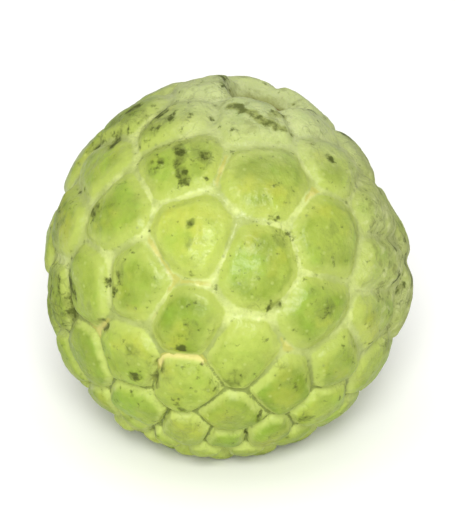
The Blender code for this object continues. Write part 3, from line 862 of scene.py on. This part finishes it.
# %% Creases of dry skin
CREASE_CELL = 2.8 * MM
CREASE_BEND = 2.6 * MM
CREASE_WIDTH = 0.11  # as a share of the cell
TIP_DRYNESS = 0.35
MOULD_AND_SHADE_DRYNESS = 1.6
bent = add(skin_tree, "ShaderNodeVectorMath", "MULTIPLY_ADD",
           {0: live(noises["ragged"].outputs, "Color"), 1: (CREASE_BEND,) * 3, 2: coordinates})
creases = add(skin_tree, "ShaderNodeTexVoronoi", {"feature": "DISTANCE_TO_EDGE"},
              {"Vector": bent, "Scale": 1 / CREASE_CELL})
creases = add(skin_tree, "ShaderNodeMapRange", inputs={
    "Value": live(creases.outputs, "Distance"), "From Min": CREASE_WIDTH, "From Max": 0.0})
visible = add(skin_tree, "ShaderNodeMapRange", SMOOTH,
              {"Value": noises["mottle"], "From Min": 0.42, "From Max": 0.58})
dryness = add(skin_tree, "ShaderNodeMath", "MULTIPLY_ADD",
              {0: tip_share, 1: TIP_DRYNESS, 2: told["weathered"]})
dryness = add(skin_tree, "ShaderNodeMath", {"operation": "MULTIPLY_ADD", "use_clamp": True},
              {0: kinds["X"], 1: MOULD_AND_SHADE_DRYNESS, 2: dryness})
creased = creases
for share in (visible, dryness):
    creased = add(skin_tree, "ShaderNodeMath", "MULTIPLY", {0: creased, 1: share})
shade = add(skin_tree, "ShaderNodeMath", "MULTIPLY", {0: creased, 1: 0.5})
coats.append((shade, linear("#5A6428")))
print(len(coats), "coats so far")

# %% [markdown]
# The weathered side is dull and grey-beige, darker in its dents and pale on its scabs, and the
# skin round the stem end is bleached. The grey and the bleached top are partly painted sheen:
# they also stand for the pale room's light on the upper and right edges.

# %% Weather
# partly painted sheen: the grey of the weathered side and top, and the pale top, also stand for
# the room's light on those edges
grey_and_sheen = add(skin_tree, "ShaderNodeMapRange", SMOOTH, {
    "Value": noises["mottle"], "From Min": 0.30, "From Max": 0.60, "To Min": 0.5, "To Max": 0.95})
bleached_and_sheen = add(skin_tree, "ShaderNodeMapRange", SMOOTH,
               {"Value": place_height, "From Min": 0.72, "From Max": 0.96, "To Max": 0.45})
weather_and_sheen = [(grey_and_sheen, told["weathered"], "#969E62"), (bleached_and_sheen, 1.0, "#B8C092")]
for least, full, code in ((0.46, 0.34, "#6C7238"), (0.54, 0.66, "#B0B67C")):
    scab = add(skin_tree, "ShaderNodeMapRange", SMOOTH,
               {"Value": noises["scabs"], "From Min": least, "From Max": full, "To Max": 0.6})
    weather_and_sheen.append((scab, told["weathered"], code))
for pattern, share, code in weather_and_sheen:
    amount = add(skin_tree, "ShaderNodeMath", "MULTIPLY", {0: pattern, 1: share})
    coats.append((amount, linear(code)))
print(len(coats), "coats so far")

# %% [markdown]
# The marks come over it, in four coats: a stain round each colony of mould, the dark colony
# itself, and the same two for a bruise. The two mould coats also lay on the painted shade along
# the left and right edges and in the crease at the left. Each adds a mark's strength to a noise
# and keeps what is high, so a mark breaks up into specks at its edge and is solid in its middle.

# %% Mould and bruises
MARK_COATS = (  # axis of the kind, pattern and its contrast, start, full, colour and most
    # the two X coats are mould, and on the edges and in the left crease painted shade
    ("X", "mottle", 1.5, 1.25, 1.85, "#66702C", 0.6),
    ("X", "ragged", 4.0, 2.45, 3.35, "#3A4210", 0.85),
    ("Z", "mottle", 1.5, 0.95, 1.65, "#7C843A", 0.7),
    ("Z", "ragged", 4.0, 2.45, 3.45, "#4C5422", 0.85),
)
soot_bruise_and_shade = 0.0
for axis, pattern, contrast, start, full, code, most in MARK_COATS:
    amount = add(skin_tree, "ShaderNodeMath", "MULTIPLY_ADD",
                 {0: noises[pattern], 1: contrast, 2: kinds[axis]})
    amount = add(skin_tree, "ShaderNodeMapRange", SMOOTH,
                 {"Value": amount, "From Min": start, "From Max": full, "To Max": most})
    soot_bruise_and_shade = add(skin_tree, "ShaderNodeMath", "MAXIMUM", {0: amount, 1: soot_bruise_and_shade})
    coats.append((amount, linear(code)))
print(len(coats), "coats so far")

# %% [markdown]
# A plant closes a wound with cork. A seam that only cracked has a brownish hairline of it, and
# one that tore open has a pale line. Both are kept to the seam by the distance from it. In the
# pit the skin turns to cork round the stalk, as bark does at a tree's foot.

# %% Cork
SEAM_CORK = (  # distance, where the cork starts and is full, the mark's strengths, colour, most
    (ragged_mm, 0.40, 0.10, 0.12, 0.30, "#A3A048", 0.7),
    (seam_mm, 0.9, 0.2, 0.40, 0.60, "#C4BE74", 0.9),
)
PIT_CORK = ((0.15, 0.85, "#7C8046"), (0.80, 1.02, "#6B5A32"))  # start, full and colour
for distance_mm, start_mm, full_mm, least, full, code, most in SEAM_CORK:
    near = add(skin_tree, "ShaderNodeMapRange", SMOOTH,
               {"Value": distance_mm, "From Min": start_mm, "From Max": full_mm, "To Max": most})
    wounded = add(skin_tree, "ShaderNodeMapRange", SMOOTH,
                  {"Value": kinds["Y"], "From Min": least, "From Max": full})
    corked = add(skin_tree, "ShaderNodeMath", "MULTIPLY", {0: near, 1: wounded})
    coats.append((corked, linear(code)))
lining = add(skin_tree, "ShaderNodeMath", "MULTIPLY_ADD", {0: uneven, 1: 0.9, 2: told["pit"]})
for start, full, code in PIT_CORK:
    corked = add(skin_tree, "ShaderNodeMapRange", SMOOTH,
                 {"Value": lining, "From Min": start, "From Max": full, "To Max": 0.9})
    coats.append((corked, linear(code)))

# %% [markdown]
# Now the coats go on, the green of the segments first.

# %% The coats are laid on
colour = green
for amount, coat_colour in coats:
    colour = add(skin_tree, "ShaderNodeMix", COLOURS,
                 {"Factor": amount, "A": colour, "B": coat_colour})
skin_tree.links.new(live(colour.outputs, 0), skin_shader.inputs["Base Color"])
print(len(coats), "coats of colour")

# %% [markdown]
# Wax lies thicker in some places than in others, so the roughness changes over a millimetre or
# two. Soot and dry skin have lost it, so they hardly shine, and the marks of painted shade are
# as dull as soot. Over the scabs and creases the bumps are in three sizes: dents, wrinkles and
# pores. Real pores are finer than a render shows, so they are drawn at 0.8 millimetres.

# %% Wax
WAX_ROUGHNESS = (0.34, 0.58)
# painted shade marks count as soot here, so they are dulled as well
DULLING = 0.35  # roughness that soot and dryness add
COAT_WEIGHTS = (0.25, 0.04)  # where the skin is fresh, and where it is dull
wax = add(skin_tree, "ShaderNodeMapRange", inputs={
    "Value": uneven, "From Min": -0.2, "From Max": 0.2,
    "To Min": WAX_ROUGHNESS[0], "To Max": WAX_ROUGHNESS[1]})
dull = add(skin_tree, "ShaderNodeMath", "MAXIMUM", {0: soot_bruise_and_shade, 1: dryness})
rough = add(skin_tree, "ShaderNodeMath", "MULTIPLY_ADD", {0: dull, 1: DULLING, 2: wax})
coat = add(skin_tree, "ShaderNodeMapRange", inputs={
    "Value": dull, "To Min": COAT_WEIGHTS[0], "To Max": COAT_WEIGHTS[1]})
for name, value in (("Roughness", rough), ("Coat Weight", coat)):
    skin_tree.links.new(live(value.outputs, 0), skin_shader.inputs[name])
print("roughness of the wax:", WAX_ROUGHNESS)

# %% Dents, wrinkles and pores
SCAB_HEIGHT = 0.25 * MM
CREASE_DEPTH = 0.2 * MM
BUMPS = (  # size and height in millimetres, strength and detail
    (4.5, 0.9, 0.5, 2.0), (1.9, 0.5, 0.6, 3.0), (0.8, 0.12, 0.5, 3.0),
)
scabby = add(skin_tree, "ShaderNodeMath", "MULTIPLY", {0: noises["scabs"], 1: told["weathered"]})
bump = add(skin_tree, "ShaderNodeBump",
           inputs={"Strength": 0.8, "Distance": SCAB_HEIGHT, "Height": scabby})
bump = add(skin_tree, "ShaderNodeBump", {"invert": True}, {
    "Strength": 0.8, "Distance": CREASE_DEPTH, "Height": creased, "Normal": bump})
for size_mm, height_mm, strength, detail in BUMPS:
    pattern = add(skin_tree, "ShaderNodeTexNoise", inputs={
        "Vector": coordinates, "Scale": 1 / (size_mm * MM), "Detail": detail,
        "Roughness": 0.55})
    bump = add(skin_tree, "ShaderNodeBump", inputs={
        "Strength": strength, "Distance": height_mm * MM, "Height": pattern, "Normal": bump})
for name in ("Normal", "Coat Normal"):
    skin_tree.links.new(bump.outputs["Normal"], skin_shader.inputs[name])
print(len(skin_tree.nodes), "nodes in the skin's material")

# %% [markdown]
# ## Growing the skin
#
# The tree becomes a modifier on the middles. Its inputs are set by each socket's identifier.
# The result is read as a plain mesh, and the modifier goes.

# %% From tree to mesh


def grow(points, tree, values):
    """Runs a tree on an object and makes the result the object's own plain mesh."""
    modifier = points.modifiers.new(tree.name, "NODES")
    modifier.node_group = tree
    for item in tree.interface.items_tree:
        if item.in_out == "INPUT" and item.name in values:
            modifier[item.identifier] = values[item.name]
    graph = bpy.context.evaluated_depsgraph_get()
    mesh = bpy.data.meshes.new_from_object(points.evaluated_get(graph))
    points.modifiers.clear()
    points.data = mesh


skin_values = {label: value for label, (_, value) in SKIN_INPUTS.items()}
skin_values["Skin Material"] = skin_material
grow(fruit, tree, skin_values)
for label in ("looked_up", "own_middle", "half_width", "proud", "gap", "crowd", "border", "stray"):
    fruit.data.attributes.remove(fruit.data.attributes[label])
bpy.data.objects.remove(mark_places)
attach(fruit, "root")
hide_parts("fruit")
print(len(fruit.data.polygons), "faces; attributes:", [a.name for a in fruit.data.attributes])

# %% [markdown]
# ## The stump of the stalk
#
# When the fruit is picked, its stalk snaps off a few millimetres above the pit. What stays is a
# short woody stump with a flared, corky foot, furrowed bark and a torn top of pale fibres. It
# is a turned shape with something random on it, so it is built in rings: a profile gives each
# ring its height and radius, and a noise furrows the bark and tears the top.

# %% Profile of the stump
STUMP_RADIUS = 2.3 * MM
STUMP_PROFILE = (  # height and radius as shares of the stump's, and how torn the wood is
    (-0.40, 1.75, 0), (-0.12, 1.62, 0), (0.02, 1.42, 0), (0.12, 1.26, 0), (0.26, 1.10, 0),
    (0.42, 1.02, 0), (0.60, 1.00, 0), (0.76, 1.01, 0), (0.88, 1.03, 0), (0.95, 0.99, 0.2),
    (0.97, 0.92, 0.7), (0.93, 0.84, 1), (0.90, 0.70, 1), (0.93, 0.54, 1), (0.91, 0.36, 1),
    (0.84, 0.18, 1), (0.80, 0.07, 1),
)
STUMP_SIDES = 72
FURROW_DEPTH = 0.28 * MM
FURROWS = ((4.5, 0.7, 0, 1.0), (10, 1.6, 5, 0.6))  # fineness round and along, shift and share
TEAR_HEIGHT = 0.5 * MM
TEARS = ((3.2, 7, 1.0), (9, 3, 0.5))  # fineness, shift and share


def stump_ring(height, width, torn):
    """The ring's points, upright, with furrowed bark or torn fibres."""
    ring = []
    for side in range(STUMP_SIDES):
        angle = 2 * math.pi * side / STUMP_SIDES
        spoke = Vector((math.cos(angle), math.sin(angle), 0))
        furrow = sum(share * noise.noise(spoke * fine + Vector((shift, 0, height * along)))
                     for fine, along, shift, share in FURROWS)
        tear = sum(share * noise.noise(spoke * width * fine + Vector((0, shift, 0)))
                   for fine, shift, share in TEARS)
        radius = width * STUMP_RADIUS + (1 - torn) * FURROW_DEPTH * furrow
        lift = height * STUMP_LENGTH + torn * TEAR_HEIGHT * tear
        ring.append(spoke * radius + Vector((0, 0, lift)))
    return ring


# %% Rings to mesh
stump_shape = bmesh.new()
torn_layer = stump_shape.verts.layers.float.new("torn")
grain_layer = stump_shape.verts.layers.float_vector.new("grain")
rings = []
for height, width, torn in STUMP_PROFILE:
    made = []
    for point in stump_ring(height, width, torn):
        vertex = stump_shape.verts.new(point)
        vertex[torn_layer] = torn
        vertex[grain_layer] = point
        made.append(vertex)
    rings.append(made)
for lower, upper in zip(rings, rings[1:]):
    for side in range(STUMP_SIDES):
        after = (side + 1) % STUMP_SIDES
        stump_shape.faces.new((lower[side], lower[after], upper[after], upper[side]))
stump_shape.faces.new(rings[0][::-1])
stump_shape.faces.new(rings[-1])
stump_foot = stem_end.length - STUMP_LENGTH / 2
placing = (Matrix.Translation((0, 0, centre_height)) @ Matrix.Rotation(lean, 4, tipping_axis)
           @ Matrix.Translation((0, 0, stump_foot)))
stump_shape.transform(placing)
bmesh.ops.recalc_face_normals(stump_shape, faces=stump_shape.faces)
stump_mesh = bpy.data.meshes.new("stalk_stump_bark")
stump_shape.to_mesh(stump_mesh)
stump_shape.free()
stump_mesh.shade_smooth()
stump = bpy.data.objects.new("stalk_stump_bark", stump_mesh)
bpy.context.scene.collection.objects.link(stump)
print(len(stump_mesh.polygons), "faces in the stump")

# %% [markdown]
# ## The stump's material
#
# Dry bark is matte: it gives the eye no highlight, only grey-brown ridges and dark furrows that
# run along the stalk. Its torn top shows paler straw-coloured fibres. The grain was kept as an
# attribute before the stump was turned to its lean, so that its fibres follow the stalk.

# %% Dry bark
FIBRE_WIDTH = 0.45 * MM
FIBRE_STRETCH = 0.22  # fibres are long along the stalk and narrow across it
FIBRE_DEPTH = 0.25 * MM
bark_material, bark_tree, bark_shader, _ = new_material("dry_stalk_bark", 0.88, 1.45)
bark_shader.inputs["Specular IOR Level"].default_value = 0.3
grain = add(bark_tree, "ShaderNodeAttribute", {"attribute_name": "grain"}).outputs["Vector"]
torn_wood = add(bark_tree, "ShaderNodeAttribute", {"attribute_name": "torn"}).outputs["Fac"]
fibres = add(bark_tree, "ShaderNodeMapping",
             inputs={"Vector": grain, "Scale": (1, 1, FIBRE_STRETCH)})
fibres = add(bark_tree, "ShaderNodeTexNoise", inputs={
    "Vector": fibres, "Scale": 1 / FIBRE_WIDTH, "Detail": 4.0, "Roughness": 0.65})
ridge = add(bark_tree, "ShaderNodeMapRange",
            inputs={"Value": fibres, "From Min": 0.35, "From Max": 0.65})
bark = add(bark_tree, "ShaderNodeMix", COLOURS,
           {"Factor": ridge, "A": linear("#3B2D1D"), "B": linear("#85704E")})
straw = add(bark_tree, "ShaderNodeMix", COLOURS,
            {"Factor": ridge, "A": linear("#6E5433"), "B": linear("#B79B67")})
wood = add(bark_tree, "ShaderNodeMix", COLOURS, {"Factor": torn_wood, "A": bark, "B": straw})
bark_tree.links.new(live(wood.outputs, 0), bark_shader.inputs["Base Color"])
fibre_bump = add(bark_tree, "ShaderNodeBump", inputs={
    "Strength": 0.8, "Distance": FIBRE_DEPTH, "Height": fibres})
bark_tree.links.new(fibre_bump.outputs["Normal"], bark_shader.inputs["Normal"])
stump_mesh.materials.append(bark_material)
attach(stump, "root")
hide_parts("stalk_stump")
print(len(bark_tree.nodes), "nodes in the bark's material")

# %% [markdown]
# ## The studio
#
# The fruit stands on a plain pale floor that runs on past the edges of the view, as the paper
# sweep of a studio does. A wide disc is enough, because nothing is seen past its edge. It is
# paper, so it is matte.

# %% Floor
floor_mesh = bpy.data.meshes.new("floor")
floor_shape = bmesh.new()
bmesh.ops.create_circle(floor_shape, cap_ends=True, segments=96, radius=3.0)
floor_shape.to_mesh(floor_mesh)
floor_shape.free()
floor = bpy.data.objects.new("floor", floor_mesh)
bpy.context.scene.collection.objects.link(floor)
floor_material, _, floor_shader, _ = new_material("matte_white_sweep", 0.9, 1.45)
floor_shader.inputs["Base Color"].default_value = linear("#F4F4F1")
floor_mesh.materials.append(floor_material)
print("floor:", tuple(round(side, 1) for side in floor.dimensions))

# %% [markdown]
# The camera looks down on the fruit from a metre away, at the height of someone who stands at a
# table. From that far the near side isn't swollen, as it would be close up.

# %% Camera
CAMERA_ELEVATION = math.radians(30)
CAMERA_DISTANCE = 1.0
SEEN_WIDTH = 0.100  # metres that the view is wide, at the fruit
aim = Vector((0, 0, centre_height))
camera = bpy.data.objects.new("camera", bpy.data.cameras.new("camera"))
camera.location = aim + CAMERA_DISTANCE * Vector(
    (0, -math.cos(CAMERA_ELEVATION), math.sin(CAMERA_ELEVATION)))
camera.rotation_euler = (aim - camera.location).to_track_quat("-Z", "Y").to_euler()
camera.data.sensor_fit = "HORIZONTAL"
camera.data.lens = camera.data.sensor_width * CAMERA_DISTANCE / SEEN_WIDTH
bpy.context.scene.collection.objects.link(camera)
bpy.context.scene.camera = camera
print(f"focal length {camera.data.lens:.0f} mm")

# %% [markdown]
# A softbox over the camera is the key. It puts the highlights near the middle of the fruit and
# leaves the edges darker. A weak large one above lifts the top, and a small low one draws the
# highlights on the bulging segments of the tip. A white room fills the rest, so the shadow is
# soft and pale.

# %% Lights
SOFTBOXES = (  # name, place, size in metres and watts
    ("key_softbox", (0.0, -1.15, 0.98), 0.5, 19),
    ("fill_softbox", (-0.1, -0.3, 1.35), 1.0, 3),
    ("low_softbox", (-0.25, -1.0, 0.22), 0.2, 1.6),
)
ROOM_LIGHT = 0.67


def softbox(name, place, size, watts):
    """A square lamp that faces the fruit."""
    lamp = bpy.data.lights.new(name, "AREA")
    lamp.size = size
    lamp.energy = watts
    box = bpy.data.objects.new(name, lamp)
    box.location = place
    box.rotation_euler = (aim - box.location).to_track_quat("-Z", "Y").to_euler()
    bpy.context.scene.collection.objects.link(box)


for name, place, size, watts in SOFTBOXES:
    softbox(name, place, size, watts)
world = bpy.data.worlds.new("pale_room")
world.use_nodes = True
world.node_tree.nodes["Background"].inputs["Color"].default_value = linear("#FFFFFF")
world.node_tree.nodes["Background"].inputs["Strength"].default_value = ROOM_LIGHT
bpy.context.scene.world = world
bpy.context.scene.view_settings.view_transform = "Standard"
print(len(SOFTBOXES), "softboxes")
